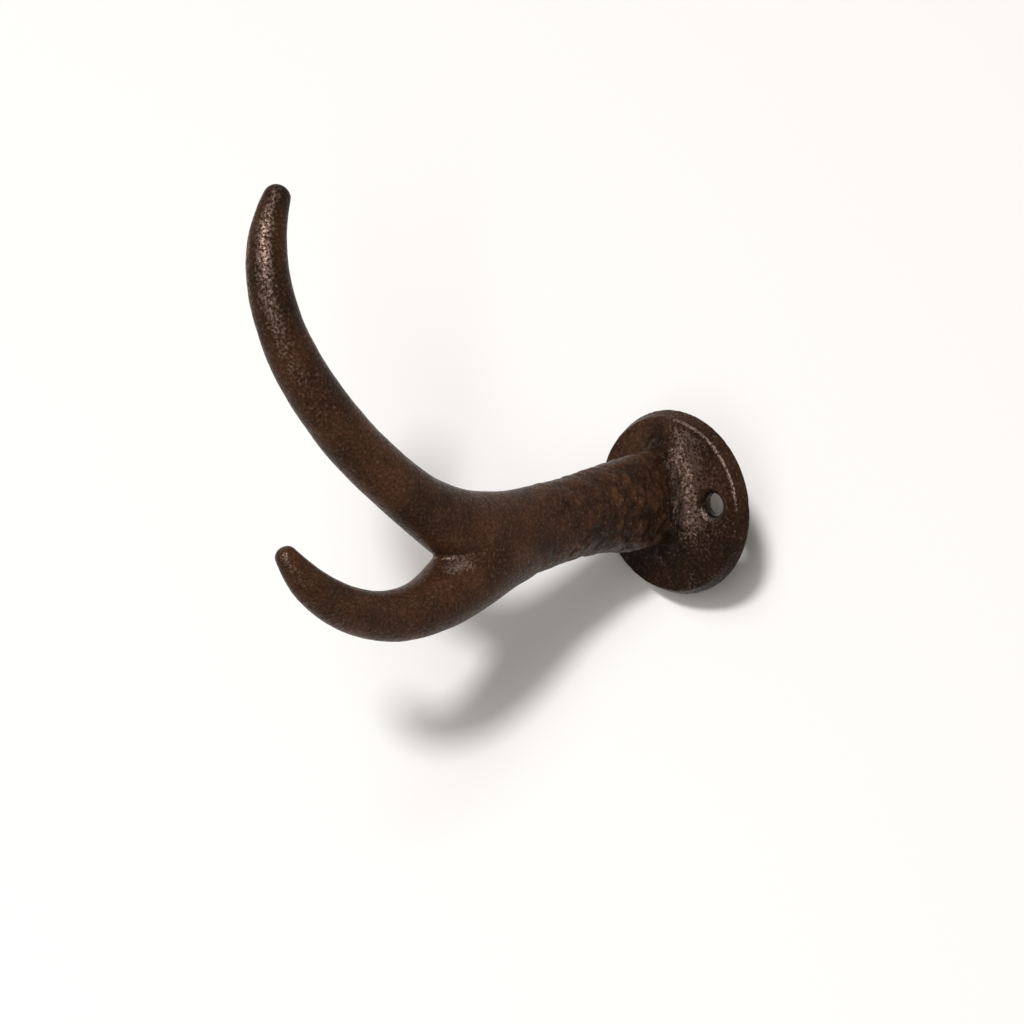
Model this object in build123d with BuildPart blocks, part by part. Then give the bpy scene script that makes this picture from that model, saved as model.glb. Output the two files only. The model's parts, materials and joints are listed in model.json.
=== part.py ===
import os
from math import cos, radians, sin

from build123d import *

# Antler coat hook, cast in one piece. Sizes in millimetres, angles in degrees.
# The wall is the plane Y = 0, the hook reaches out along -Y, and Z is up.

# Wall plate, with draft on its rim so that it lifts out of the sand
plate_diameter = 45
plate_thickness = 3.5
rim_draft = 1.5
plate_front_round = 0.8
plate_back_round = 0.3

# Two countersunk screw holes, left and right of the stem
screw_spacing = 26.7
screw_diameter = 5.5
screw_head_diameter = 8.3
screw_head_angle = 90

# Centre line of the stem and main beam: tangent arcs, each a length and a turn upward
stem_rise = 1.6
stem_slope = 4.5
stem_length, stem_turn = 49.2, -7.9
fork_length, fork_turn = 30.0, 36.6
beam_length, beam_turn = 41.2, 18.5
crook_length, crook_turn = 25.4, 23.8
point_length, point_turn = 26.5, 53.3

# Centre line of the lower tine, which leaves the stem where the fork begins
dip_length, dip_turn = 22.6, -25.5
tine_length, tine_turn = 42.2, 60.2
tine_point_length, tine_point_turn = 19.8, 29.8

# Oval sections of the stem and beam: place along its arc, height and width
stem_sections = [(0, 27.0, 12.6), (0.24, 22.6, 13.2), (0.54, 20.4, 14.0), (0.83, 19.2, 14.6)]
fork_sections = [(0.24, 20.0, 15.0), (0.68, 18.0, 14.4)]
beam_sections = [(0.1, 14.0, 12.9), (0.5, 12.2, 11.8)]
crook_sections = [(0, 11.5, 11.2), (0.5, 10.8, 10.6)]
point_sections = [(0, 9.8, 9.6), (0.45, 8.6, 8.5), (0.8, 6.7, 6.6), (1, 5.3, 5.2)]

# Oval sections of the tine, the first hidden inside the stem
dip_sections = [(0, 18.4, 13.6), (0.45, 20.1, 15.4), (1, 17.6, 15.6)]
tine_sections = [(0.42, 12.4, 12.6), (0.76, 10.5, 10.4)]
tine_point_sections = [(0.26, 8.7, 8.6), (0.7, 6.5, 6.4), (1, 4.2, 4.1)]

# Cast roundings: crotch of the fork, root of the stem, and tips as a share of their radius
crotch_round = 1.0
root_round = 2.5
tip_roundness = 0.93

side_view = Plane(origin=(0, 0, 0), x_dir=(0, -1, 0), z_dir=(-1, 0, 0))
across = Vector(1, 0, 0)
stem_start = (plate_thickness / 2, stem_rise)
stem_heading = (cos(radians(stem_slope)), sin(radians(stem_slope)))


def bend_radius(length, turn):
    return abs(length / radians(turn))


def square_to(arc, place):
    return Plane(arc @ place, x_dir=(arc % place).cross(across), z_dir=arc % place)


with BuildLine(side_view):
    stem = JernArc(stem_start, stem_heading, bend_radius(stem_length, stem_turn), stem_turn)
    fork = JernArc(stem @ 1, stem % 1, bend_radius(fork_length, fork_turn), fork_turn)
    beam = JernArc(fork @ 1, fork % 1, bend_radius(beam_length, beam_turn), beam_turn)
    crook = JernArc(beam @ 1, beam % 1, bend_radius(crook_length, crook_turn), crook_turn)
    point = JernArc(crook @ 1, crook % 1, bend_radius(point_length, point_turn), point_turn)

with BuildLine(side_view):
    dip = JernArc(stem @ 1, stem % 1, bend_radius(dip_length, dip_turn), dip_turn)
    tine = JernArc(dip @ 1, dip % 1, bend_radius(tine_length, tine_turn), tine_turn)
    tine_point_radius = bend_radius(tine_point_length, tine_point_turn)
    tine_point = JernArc(tine @ 1, tine % 1, tine_point_radius, tine_point_turn)

main_arcs = [
    (stem, stem_sections),
    (fork, fork_sections),
    (beam, beam_sections),
    (crook, crook_sections),
    (point, point_sections),
]
tine_arcs = [
    (dip, dip_sections),
    (tine, tine_sections),
    (tine_point, tine_point_sections),
]

with BuildPart() as antler_hook:
    # Stem and main beam, lofted along their centre line to a rounded tip
    for arc, sections in main_arcs:
        for place, height, width in sections:
            with BuildSketch(square_to(arc, place)):
                Ellipse(height / 2, width / 2)
    loft()
    beam_end = antler_hook.edges().sort_by_distance(point @ 1)[0]
    fillet(beam_end, tip_roundness * width / 2)

    # Lower tine, with the crotch rounded where it meets the beam
    for arc, sections in tine_arcs:
        for place, height, width in sections:
            with BuildSketch(square_to(arc, place)):
                Ellipse(height / 2, width / 2)
    loft()
    fork_seam = antler_hook.edges(Select.NEW)
    tine_end = antler_hook.edges().sort_by_distance(tine_point @ 1)[0]
    fillet(tine_end, tip_roundness * width / 2)
    fillet(fork_seam, crotch_round)

    # Wall plate
    with BuildSketch(Plane.XZ):
        Circle(plate_diameter / 2)
    with BuildSketch(Plane.XZ.offset(plate_thickness)):
        Circle(plate_diameter / 2 - rim_draft)
    loft()
    front_face = antler_hook.faces().filter_by(Axis.Y).sort_by(Axis.Y)[0]
    fillet(front_face.inner_wires().edges(), root_round)
    wall_face, front_face = antler_hook.faces().filter_by(Axis.Y).sort_by(Axis.Y, reverse=True)
    fillet(wall_face.edges(), plate_back_round)
    fillet(front_face.outer_wire().edges(), plate_front_round)

    # Screw holes
    with Locations(Plane.XZ.offset(plate_thickness)):
        with GridLocations(screw_spacing, 0, 2, 1):
            CounterSinkHole(screw_diameter / 2, screw_head_diameter / 2, plate_thickness, screw_head_angle)

antler_hook.part.label = "antler_hook"
os.makedirs("parts", exist_ok=True)
export_step(antler_hook.part, "parts/antler_hook.step")
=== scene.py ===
import json
import math

import bpy
from mathutils import Matrix, Vector, noise
from mathutils.bvhtree import BVHTree


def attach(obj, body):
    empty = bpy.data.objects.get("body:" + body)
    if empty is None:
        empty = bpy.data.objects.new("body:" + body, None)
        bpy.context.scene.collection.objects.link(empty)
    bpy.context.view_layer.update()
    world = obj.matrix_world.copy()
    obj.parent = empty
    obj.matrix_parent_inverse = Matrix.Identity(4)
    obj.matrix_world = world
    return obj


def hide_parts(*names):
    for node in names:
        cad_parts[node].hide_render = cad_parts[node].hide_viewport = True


# Antler coat hook. Metres; the wall is the plane Y = 0, the hook reaches out along -Y, Z is up.
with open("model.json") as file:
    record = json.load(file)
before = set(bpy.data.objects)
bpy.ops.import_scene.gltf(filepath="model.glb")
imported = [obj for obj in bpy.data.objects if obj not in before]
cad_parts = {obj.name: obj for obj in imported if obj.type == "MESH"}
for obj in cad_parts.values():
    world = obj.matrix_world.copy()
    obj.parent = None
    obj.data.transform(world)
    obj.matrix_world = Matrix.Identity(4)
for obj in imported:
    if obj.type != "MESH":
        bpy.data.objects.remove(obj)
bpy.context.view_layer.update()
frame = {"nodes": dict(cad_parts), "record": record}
cad_hook = frame["nodes"]["antler_hook"]
screw_holes = next(m for m in frame["record"]["mounts"] if m["name"] == "screw_holes")

MM = 0.001
HOLE_X = screw_holes["dims"]["spacing_x_mm"] / 2 * MM
scene = bpy.context.scene

# Camera, at the photograph's viewing angle, and half the width of a pixel out at the hook
CAMERA_PLACE = Vector((0.44021, -0.51264, 0.09274))
CAMERA_AZIMUTH, CAMERA_ELEVATION, CAMERA_ROLL = 43.99, 7.71, -5.67
LENS, SENSOR = 100, 36
HALF_PIXEL = 0.12 * MM


def add_camera():
    """The camera, half a pixel up and to the left, so that the picture lies where the photograph does."""
    azimuth = math.radians(CAMERA_AZIMUTH)
    elevation = math.radians(CAMERA_ELEVATION)
    roll = math.radians(CAMERA_ROLL)
    level = Vector((math.cos(azimuth), math.sin(azimuth), 0))
    outward = Vector((math.sin(azimuth), -math.cos(azimuth), 0))
    back = outward * math.cos(elevation) + Vector((0, 0, math.sin(elevation)))
    right = level * math.cos(roll) + back.cross(level) * math.sin(roll)
    up = back.cross(right)
    data = bpy.data.cameras.new("camera")
    data.lens = LENS
    data.sensor_width = SENSOR
    data.clip_start, data.clip_end = 0.05, 20
    camera = bpy.data.objects.new("camera", data)
    turn = Matrix((right, up, back)).transposed().to_4x4()
    camera.matrix_world = Matrix.Translation(CAMERA_PLACE + (up - right) * HALF_PIXEL) @ turn
    scene.collection.objects.link(camera)
    scene.camera = camera


add_camera()

# The casting: an even mesh laid on the CAD surface, then its cast relief, worked out in millimetres
VOXEL = 0.42 * MM
PLATE_THICKNESS = 3.5
BACK_EDGE = 0.4

# The stem's oval at its root, and how high its centre is over the plate's
STEM_HALF_WIDTH, STEM_HALF_HEIGHT, STEM_RISE = 6.3, 13.5, 1.7

# Layers of waves: height, size and a seed that sets the pattern
SLOW_WAVES = (0.16, 15, 1)
MIDDLE_WAVES = (0.09, 6.5, 2)
SAND_WAVES = (0.04, 1.9, 3)
ROOT_WAVES = (0.15, 1.6, 10)
PLATE_WAVES = (0.06, 1.3, 9)

# Layers of pearls: height, length along the stem, width around it and a seed
LARGE_PEARLS = (0.70, 3.2, 4.2, 4)
SMALL_PEARLS = (0.42, 1.8, 2.4, 5)
ROOT_PEARLS = (0.9, 2.8, 2.8, 7)
PLATE_PEARLS = (0.14, 2.0, 2.0, 8)
PEARL_RADIUS, MEAN_PEARL = 0.7, 0.35

# Furrows along the zero lines of a noise: depth, size of the noise, its value at their sides, and a seed
FURROW_DEPTH, FURROW_SIZE, FURROW_SIDE, FURROW_SEED = 0.30, 5.5, 0.3, 6

# The rows of pearls wander by this much, over this distance
BEND, BEND_SIZE, BEND_SEEDS = 1.6, 7, (11, 12, 13)

# Distances from the wall over which the burr of the stem comes and goes
BURR_START, BURR_END = (4, 8), (34, 60)

# The swollen band round the root: where it ends away from the wall, how far it spreads over the plate
# in half sizes of the stem's oval, and its height
ROOT_END, ROOT_SPREAD, ROOT_SWELL = (7, 14), (1.1, 1.55), 0.6

# How much calmer the burr is on the stem's top and underside, and the waves on the plate
TOP_CALM, PLATE_CALM = 0.65, 0.8

# A kink on top of the stem and a pit under the screw hole: place, radius and height
KINK = ((0, -29.3, 12.6), 3.5, 0.2)
PIT = ((7.8, -3.5, -6.7), 1.8, -0.6)


def ramp(value, start, end):
    """0 at start, 1 at end, smooth between."""
    t = min(max((value - start) / (end - start), 0), 1)
    return t * t * (3 - 2 * t)


def shifted(p, along, around, seed):
    """A point in the space of a noise pattern with features so long in Y and so wide in X and Z."""
    return Vector((p.x / around + 7.3 * seed, p.y / along + 3.1 * seed, p.z / around))


def waves(p, height, size, seed):
    """Soft noise to either side of zero."""
    return height * noise.noise(shifted(p, size, size, seed))


def pearls(p, height, along, around, seed):
    """Rounded bumps of uneven height, level on average."""
    distances, centres = noise.voronoi(shifted(p, along, around, seed))
    swell = 0.6 + 0.4 * noise.cell(centres[0] * 9)
    return height * (swell * max(0, 1 - (distances[0] / PEARL_RADIUS) ** 2) - MEAN_PEARL)


def dimple(p, place, radius, height):
    """A bump of that height, or a dip, that fades to nothing at a radius from its place."""
    return height * (1 - ramp((p - Vector(place)).length, 0, radius))


def relief(p, normal):
    """Height of the cast surface over the smooth form, and the burr's share of it."""
    out = -p.y
    on_plate = 1 - ramp(out, PLATE_THICKNESS, PLATE_THICKNESS + 2)
    past_rim = ramp(out, PLATE_THICKNESS - 0.6, PLATE_THICKNESS - 0.1)
    on_flank = 1 - TOP_CALM * ramp(abs(normal.z), 0.5, 0.9)
    on_stem = on_flank * ramp(out, *BURR_START) * (1 - ramp(out, *BURR_END))
    from_stem = math.hypot(p.x / STEM_HALF_WIDTH, (p.z - STEM_RISE) / STEM_HALF_HEIGHT)
    in_band = (1 - ramp(out, *ROOT_END)) * (1 - ramp(from_stem, *ROOT_SPREAD))
    at_root = on_flank * past_rim * in_band

    bent = p + Vector([waves(p, BEND, BEND_SIZE, seed) for seed in BEND_SEEDS])
    from_line = abs(waves(p, 1, FURROW_SIZE, FURROW_SEED))
    furrow = FURROW_DEPTH * max(0, 1 - from_line / FURROW_SIDE)
    burr = on_stem * (pearls(bent, *LARGE_PEARLS) + pearls(bent, *SMALL_PEARLS) - furrow)
    burr += at_root * (pearls(bent, *ROOT_PEARLS) + waves(p, *ROOT_WAVES))

    skin = (1 - PLATE_CALM * on_plate) * (waves(p, *SLOW_WAVES) + waves(p, *MIDDLE_WAVES))
    skin += waves(p, *SAND_WAVES)
    skin += on_plate * past_rim * (pearls(p, *PLATE_PEARLS) + waves(p, *PLATE_WAVES))
    skin += dimple(p, *KINK) + dimple(p, *PIT)
    return skin + burr + ROOT_SWELL * at_root, burr


def even_mesh(source):
    """A voxel remesh of a CAD node in a new mesh, pulled back on to the CAD surface."""
    helper = bpy.data.objects.new("remesh_helper", source.data.copy())
    scene.collection.objects.link(helper)
    remesh = helper.modifiers.new("remesh", "REMESH")
    remesh.mode = "VOXEL"
    remesh.voxel_size = VOXEL
    remesh.use_smooth_shade = True
    graph = bpy.context.evaluated_depsgraph_get()
    mesh = bpy.data.meshes.new_from_object(helper.evaluated_get(graph))
    bpy.data.objects.remove(helper)
    corners = [v.co.copy() for v in source.data.vertices]
    surface = BVHTree.FromPolygons(corners, [tuple(p.vertices) for p in source.data.polygons])
    for v in mesh.vertices:
        v.co = surface.find_nearest(v.co)[0]
    mesh.materials.clear()
    mesh.update()
    return mesh


def raise_relief(mesh):
    """Moves the mesh out to its relief, and keeps the burr for the material, as 0.5 and its height."""
    burr_map = mesh.color_attributes.new("burr", "FLOAT_COLOR", "POINT")
    moved = []
    for v in mesh.vertices:
        p = v.co / MM
        height, burr = relief(p, v.normal)
        level = min(max(0.5 + burr, 0), 1)
        burr_map.data[v.index].color = (level, level, level, 1)
        place = p + v.normal * height
        # The back and its edge stay flat on the wall
        place.y = p.y if p.y >= -BACK_EDGE else min(place.y, 0)
        moved.append(place * MM)
    for v, place in zip(mesh.vertices, moved):
        v.co = place
    mesh.update()


casting_mesh = even_mesh(cad_hook)
raise_relief(casting_mesh)
casting = bpy.data.objects.new("casting", casting_mesh)
scene.collection.objects.link(casting)
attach(casting, "root")
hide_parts("antler_hook")


class Nodes:
    """Short calls for a node tree. They take sockets or plain values, and give output sockets."""

    def __init__(self, owner):
        owner.use_nodes = True
        self.tree = owner.node_tree
        self.tree.nodes.clear()

    def add(self, kind, **settings):
        """A new node, which is itself the result."""
        node = self.tree.nodes.new(kind)
        for name, value in settings.items():
            setattr(node, name, value)
        return node

    def feed(self, socket, value):
        """Links a value to an input, or sets it there."""
        if isinstance(value, bpy.types.NodeSocket):
            self.tree.links.new(value, socket)
        else:
            socket.default_value = value

    def math(self, operation, *values):
        node = self.add("ShaderNodeMath", operation=operation)
        for socket, value in zip(node.inputs, values):
            self.feed(socket, value)
        return node.outputs["Value"]

    def multiply(self, first, *others):
        for other in others:
            first = self.math("MULTIPLY", first, other)
        return first

    def largest(self, first, *others):
        for other in others:
            first = self.math("MAXIMUM", first, other)
        return first

    def ramp(self, source, start, end, low=0, high=1):
        """low at start, high at end, smooth between."""
        node = self.add("ShaderNodeMapRange", interpolation_type="SMOOTHSTEP")
        names = ("Value", "From Min", "From Max", "To Min", "To Max")
        for name, value in zip(names, (source, start, end, low, high)):
            self.feed(node.inputs[name], value)
        return node.outputs["Result"]

    def vector(self, operation, *vectors):
        node = self.add("ShaderNodeVectorMath", operation=operation)
        for socket, vector in zip(node.inputs, vectors):
            self.feed(socket, vector)
        return node.outputs["Value" if operation in ("DOT_PRODUCT", "LENGTH") else "Vector"]

    def split(self, vector):
        node = self.add("ShaderNodeSeparateXYZ")
        self.feed(node.inputs["Vector"], vector)
        return node.outputs["X"], node.outputs["Y"], node.outputs["Z"]

    def distance(self, across, up):
        """Length of a vector that goes so far in X and in Z."""
        node = self.add("ShaderNodeCombineXYZ")
        self.feed(node.inputs["X"], across)
        self.feed(node.inputs["Z"], up)
        return self.vector("LENGTH", node.outputs["Vector"])

    def noise(self, position, scale, detail, roughness):
        node = self.add("ShaderNodeTexNoise")
        names = ("Vector", "Scale", "Detail", "Roughness")
        for name, value in zip(names, (position, scale, detail, roughness)):
            self.feed(node.inputs[name], value)
        return node.outputs["Fac"]

    def colors(self, source, stops):
        """A colour ramp through places and their colours."""
        node = self.add("ShaderNodeValToRGB")
        elements = node.color_ramp.elements
        while len(elements) < len(stops):
            elements.new(0.5)
        for element, (place, color) in zip(elements, stops):
            element.position = place
            element.color = (*color, 1)
        self.feed(node.inputs["Fac"], source)
        return node.outputs["Color"]

    def mix(self, factor, first, second, blend_type="MIX"):
        node = self.add("ShaderNodeMix", data_type="RGBA", blend_type=blend_type)
        for name, value in zip(("Factor", "A", "B"), (factor, first, second)):
            self.feed(node.inputs[name], value)
        return node.outputs["Result"]

    def tint(self, color, factor):
        """A colour times a share or another colour."""
        return self.mix(1.0, color, factor, "MULTIPLY")

    def shade(self, factor, first, second):
        """A mix of two shaders."""
        node = self.add("ShaderNodeMixShader")
        for socket, value in zip(node.inputs, (factor, first, second)):
            self.feed(socket, value)
        return node.outputs["Shader"]


# Cast iron: its browns, the bare metal, which also makes the painted highlights, and its patches and
# grains as noise features per metre
DARK_BROWN = (0.0225, 0.0108, 0.0062)
BROWN = (0.0385, 0.0168, 0.0085)
RUST_BROWN = (0.056, 0.0235, 0.0115)
RUBBED_IRON_SHEEN = (0.180, 0.129, 0.109, 1)
PATCHES, GRAIN, FINE_GRAIN = 95, 1600, 2600

# The grain's pits, flanks and tops, as shares of the brown: the darker pits are painted shade, the
# lighter tops painted light
PIT_SHADE_SHARE = (0.58, 0.58, 0.58)
FLANK_SHARE = (0.95, 0.95, 0.95)
TOP_LIGHT_SHARE = (1.15, 1.15, 1.15)

# Directions that the rubbed front of the antler faces, on either side; the right one lies near where the
# lamps' highlight falls, so the bare metal there is partly a painted highlight
FRONT_RIGHT, FRONT_LEFT = (0.62, -0.75, 0.20), (-0.62, -0.75, 0.20)

# A painted highlight on the tine, just under the crotch, laid as bare metal, and how fast it fades in X,
# Y and Z, per metre
FORK_HIGHLIGHT = (0.0070, -0.0830, -0.0004)
FORK_HIGHLIGHT_FADE = (150, 100, 340)

# A trace of wear everywhere, and how strongly wear and the painted highlights bring out the tops of the
# grain
LEAST_WEAR, WEAR_AND_HIGHLIGHT_GAIN = 0.24, 0.32


def iron_brown(nodes, position, y, z, from_hole):
    """Brown in patches, darker on the plate and up the beam, with painted shade low on the plate, where
    the stem's shadow falls, and painted shade down in the screw holes.
    """
    patches = nodes.noise(position, PATCHES, 4, 0.6)
    brown = nodes.colors(patches, [(0.35, DARK_BROWN), (0.50, BROWN), (0.66, RUST_BROWN)])
    # Painted shade: the plate's front darkens towards its bottom, standing in for the stem's shadow there
    plate_painted_shade = nodes.ramp(z, -14 * MM, 12 * MM, 0.32, 0.72)
    plate_tone_and_shade = nodes.ramp(y, -4 * MM, -14 * MM, plate_painted_shade, 1)
    up_beam = nodes.ramp(z, 18 * MM, 60 * MM, 1, 0.66)
    # Painted shade: the screw holes and the inner part of their countersinks are darkened
    hole_painted_shade = nodes.ramp(from_hole, 3.0 * MM, 4.3 * MM, 0.22, 1)
    return nodes.tint(brown, nodes.multiply(plate_tone_and_shade, up_beam, hole_painted_shade))


def antler_wear_and_highlight(nodes, normal, y):
    """Rubbing on the front of the beam and the tine, fainter on the stem; it faces where the lamps'
    highlight falls, so it is partly a painted highlight.
    """
    to_right = nodes.vector("DOT_PRODUCT", normal, FRONT_RIGHT)
    to_left = nodes.vector("DOT_PRODUCT", normal, FRONT_LEFT)
    facing = nodes.ramp(nodes.largest(to_right, to_left), 0.70, 1, 0, 0.85)
    return nodes.multiply(facing, nodes.ramp(y, -50 * MM, -90 * MM, 0.35, 1))


def fork_highlight(nodes, position):
    """A painted highlight just under the crotch of the fork, as bare metal."""
    offset = nodes.vector("SUBTRACT", position, FORK_HIGHLIGHT)
    away = nodes.vector("LENGTH", nodes.vector("MULTIPLY", offset, FORK_HIGHLIGHT_FADE))
    return nodes.ramp(away, 1.05, 0.40, 0, 1.05)


def plate_glints(nodes, x, z, from_axis, past_hole, sand_and_glint_side):
    """Painted glints on the plate's front, as bare metal, strongest beside the root, weak below the screw
    hole.
    """
    beside_root = nodes.ramp(x, 8.5 * MM, 15 * MM, 0.85, 0.40)
    above = nodes.ramp(z, -13 * MM, -3 * MM, 0.35, 1)
    inside_rim = nodes.ramp(from_axis, 20.3 * MM, 19.0 * MM)
    return nodes.multiply(sand_and_glint_side, beside_root, above, inside_rim, past_hole)


def countersink_highlight(nodes, z, from_hole, past_hole, sand_and_glint_side):
    """A painted highlight on the lower half of the countersink, as bare metal."""
    in_cone = nodes.ramp(from_hole, 2.9 * MM, 3.2 * MM)
    low = nodes.ramp(z, 0.5 * MM, -2.0 * MM, 0, 0.9)
    return nodes.multiply(in_cone, low, nodes.ramp(past_hole, 0, 1, 1, 0), sand_and_glint_side)


def edge_highlight(nodes, y, z, from_axis, sand_and_glint_side):
    """A painted highlight along the upper right of the plate's front edge, as bare metal."""
    at_rim = nodes.ramp(from_axis, 20.3 * MM, 20.6 * MM)
    at_front = nodes.ramp(y, -2.9 * MM, -3.2 * MM)
    above = nodes.ramp(z, -6 * MM, 4 * MM)
    return nodes.multiply(at_rim, at_front, above, sand_and_glint_side)


def cast_iron():
    """Dark antiqued iron with a sand grain; painted shade darkens the burr's hollows and the grain's
    pits, and bare metal lies on the heights, partly worn and partly painted highlights where the lamps'
    highlights fall.
    """
    iron = bpy.data.materials.new("antiqued_cast_iron")
    nodes = Nodes(iron)
    coordinates = nodes.add("ShaderNodeTexCoord")
    position = coordinates.outputs["Object"]
    x, y, z = nodes.split(position)
    from_axis = nodes.distance(x, z)
    from_hole = nodes.distance(nodes.math("SUBTRACT", nodes.math("ABSOLUTE", x), HOLE_X), z)
    past_hole = nodes.ramp(from_hole, 4.0 * MM, 4.5 * MM)
    burr = nodes.add("ShaderNodeAttribute", attribute_name="burr").outputs["Fac"]

    # Sand stuck to the right side of the root and the plate's front, and left a coarser grain there; the
    # same side also bounds the painted glints on the plate, its edge and the countersink
    near_plate = nodes.ramp(y, -12 * MM, -6.5 * MM)
    on_right = nodes.ramp(x, 0.5 * MM, 6 * MM)
    off_back = nodes.ramp(y, -0.6 * MM, -1.6 * MM)
    sand_and_glint_side = nodes.multiply(near_plate, on_right, off_back)
    grain = nodes.noise(position, GRAIN, 3, 0.62)
    fine_grain = nodes.noise(position, FINE_GRAIN, 2, 0.5)
    coarseness = nodes.math("MULTIPLY_ADD", sand_and_glint_side, 1.4, 1)
    coarse_height = nodes.multiply(grain, coarseness)
    height = nodes.math("MULTIPLY_ADD", fine_grain, 0.4, coarse_height)
    tops = nodes.ramp(grain, 0.36, 0.58)

    brown = iron_brown(nodes, position, y, z, from_hole)
    # Painted shade and light: the brown is darker in the burr's hollows and lighter on its peaks
    brown = nodes.tint(brown, nodes.ramp(burr, 0.15, 0.65, 0.62, 1.36))
    # Painted shade in the grain's pits and painted light on its tops
    grain_shade_shares = nodes.colors(tops, [(0, PIT_SHADE_SHARE), (0.5, FLANK_SHARE), (1, TOP_LIGHT_SHARE)])
    brown = nodes.tint(brown, grain_shade_shares)

    # Painted glints on the tops of the burr, as bare metal
    burr_top_glints = nodes.ramp(burr, 0.55, 0.85, 0, 0.55)
    # Bare metal: a trace of wear everywhere, with the painted highlights and glints laid on as bare metal
    # too
    wear_and_highlights = nodes.largest(
        antler_wear_and_highlight(nodes, coordinates.outputs["Normal"], y),
        plate_glints(nodes, x, z, from_axis, past_hole, sand_and_glint_side),
        countersink_highlight(nodes, z, from_hole, past_hole, sand_and_glint_side),
        edge_highlight(nodes, y, z, from_axis, sand_and_glint_side),
        fork_highlight(nodes, position),
        burr_top_glints,
        LEAST_WEAR,
    )
    bareness_and_highlights = nodes.math("MULTIPLY_ADD", wear_and_highlights, WEAR_AND_HIGHLIGHT_GAIN, grain)
    bare_and_highlights = nodes.ramp(bareness_and_highlights, 0.62, 0.95, 0, 0.8)

    bump = nodes.add("ShaderNodeBump")
    bump.inputs["Strength"].default_value = 1.0
    bump.inputs["Distance"].default_value = 0.12 * MM
    nodes.feed(bump.inputs["Height"], height)
    shader = nodes.add("ShaderNodeBsdfPrincipled")
    shader.inputs["Specular IOR Level"].default_value = 0.07
    shader.inputs["Specular Tint"].default_value = (1.0, 0.75, 0.62, 1)
    nodes.feed(shader.inputs["Base Color"], nodes.mix(bare_and_highlights, brown, RUBBED_IRON_SHEEN))
    nodes.feed(shader.inputs["Metallic"], bare_and_highlights)
    nodes.feed(shader.inputs["Roughness"], nodes.ramp(tops, 0, 1, 0.50, 0.30))
    nodes.feed(shader.inputs["Normal"], bump.outputs["Normal"])
    output = nodes.add("ShaderNodeOutputMaterial")
    nodes.feed(output.inputs["Surface"], shader.outputs["BSDF"])
    return iron


casting_mesh.materials.append(cast_iron())

# Stage: a pale sheet behind the hook, which takes its shadow, a pale world and two lamps
SHEET_NORMAL = Vector((0.662, -0.549, 0.511)).normalized()
SHEET_BEHIND = 18.7 * MM
SHEET_HALF = 3.0
PAPER = (0.92, 0.92, 0.92, 1)
SKY_LIGHT, SKY_STRENGTH = (1.0, 0.92, 0.84, 1), 0.13
BACKGROUND, BACKGROUND_STRENGTH = (0.95, 0.94, 0.92, 1), 1.0

# A broad sun, and a tall soft lamp below it, which draws the long highlight up the beam
SUN_PLACE = Vector((0.452, -0.723, 0.522))
SUN = {"energy": 1.8, "angle": math.radians(8)}
SOFTBOX_PLACE = Vector((0.60, -1.0, 0.45))
SOFTBOX = {"shape": "RECTANGLE", "size": 0.3, "size_y": 1.3, "energy": 8.5, "color": (1.0, 0.95, 0.9)}


def pale_paper():
    """Plain paper, seen and lit from its front only."""
    paper = bpy.data.materials.new("pale_paper")
    nodes = Nodes(paper)
    behind = nodes.add("ShaderNodeNewGeometry").outputs["Backfacing"]
    matt = nodes.add("ShaderNodeBsdfDiffuse")
    matt.inputs["Color"].default_value = PAPER
    clear = nodes.add("ShaderNodeBsdfTransparent")
    output = nodes.add("ShaderNodeOutputMaterial")
    one_sided = nodes.shade(behind, matt.outputs["BSDF"], clear.outputs["BSDF"])
    nodes.feed(output.inputs["Surface"], one_sided)
    return paper


def add_sheet():
    """A flat square sheet, so far behind the middle of the plate's back."""
    middle = SHEET_NORMAL * -SHEET_BEHIND
    side = SHEET_NORMAL.orthogonal().normalized() * SHEET_HALF
    other = SHEET_NORMAL.cross(side)
    corners = [middle + side * a + other * b for a, b in ((-1, -1), (1, -1), (1, 1), (-1, 1))]
    mesh = bpy.data.meshes.new("pale_sheet")
    mesh.from_pydata(corners, [], [(0, 1, 2, 3)])
    mesh.materials.append(pale_paper())
    floor = bpy.data.objects.new("pale_sheet", mesh)
    scene.collection.objects.link(floor)


def add_world():
    """A dim warm sky, which the camera and mirrored or refracted rays see as a pale background."""
    world = bpy.data.worlds.new("world")
    scene.world = world
    nodes = Nodes(world)
    skies = []
    for color, strength in ((SKY_LIGHT, SKY_STRENGTH), (BACKGROUND, BACKGROUND_STRENGTH)):
        sky = nodes.add("ShaderNodeBackground")
        sky.inputs["Color"].default_value = color
        sky.inputs["Strength"].default_value = strength
        skies.append(sky.outputs["Background"])
    rays = nodes.add("ShaderNodeLightPath").outputs
    seen = nodes.largest(rays["Is Camera Ray"], rays["Is Glossy Ray"], rays["Is Transmission Ray"])
    output = nodes.add("ShaderNodeOutputWorld")
    nodes.feed(output.inputs["Surface"], nodes.shade(seen, *skies))


def add_lamp(name, kind, place, settings):
    """A lamp at a place, aimed at the plate."""
    data = bpy.data.lights.new(name, kind)
    for setting, value in settings.items():
        setattr(data, setting, value)
    lamp = bpy.data.objects.new(name, data)
    aim = (-place).to_track_quat("-Z", "Y").to_matrix().to_4x4()
    lamp.matrix_world = Matrix.Translation(place) @ aim
    scene.collection.objects.link(lamp)


add_sheet()
add_world()
add_lamp("key", "SUN", SUN_PLACE, SUN)
add_lamp("softbox", "AREA", SOFTBOX_PLACE, SOFTBOX)
scene.view_settings.view_transform = "Standard"
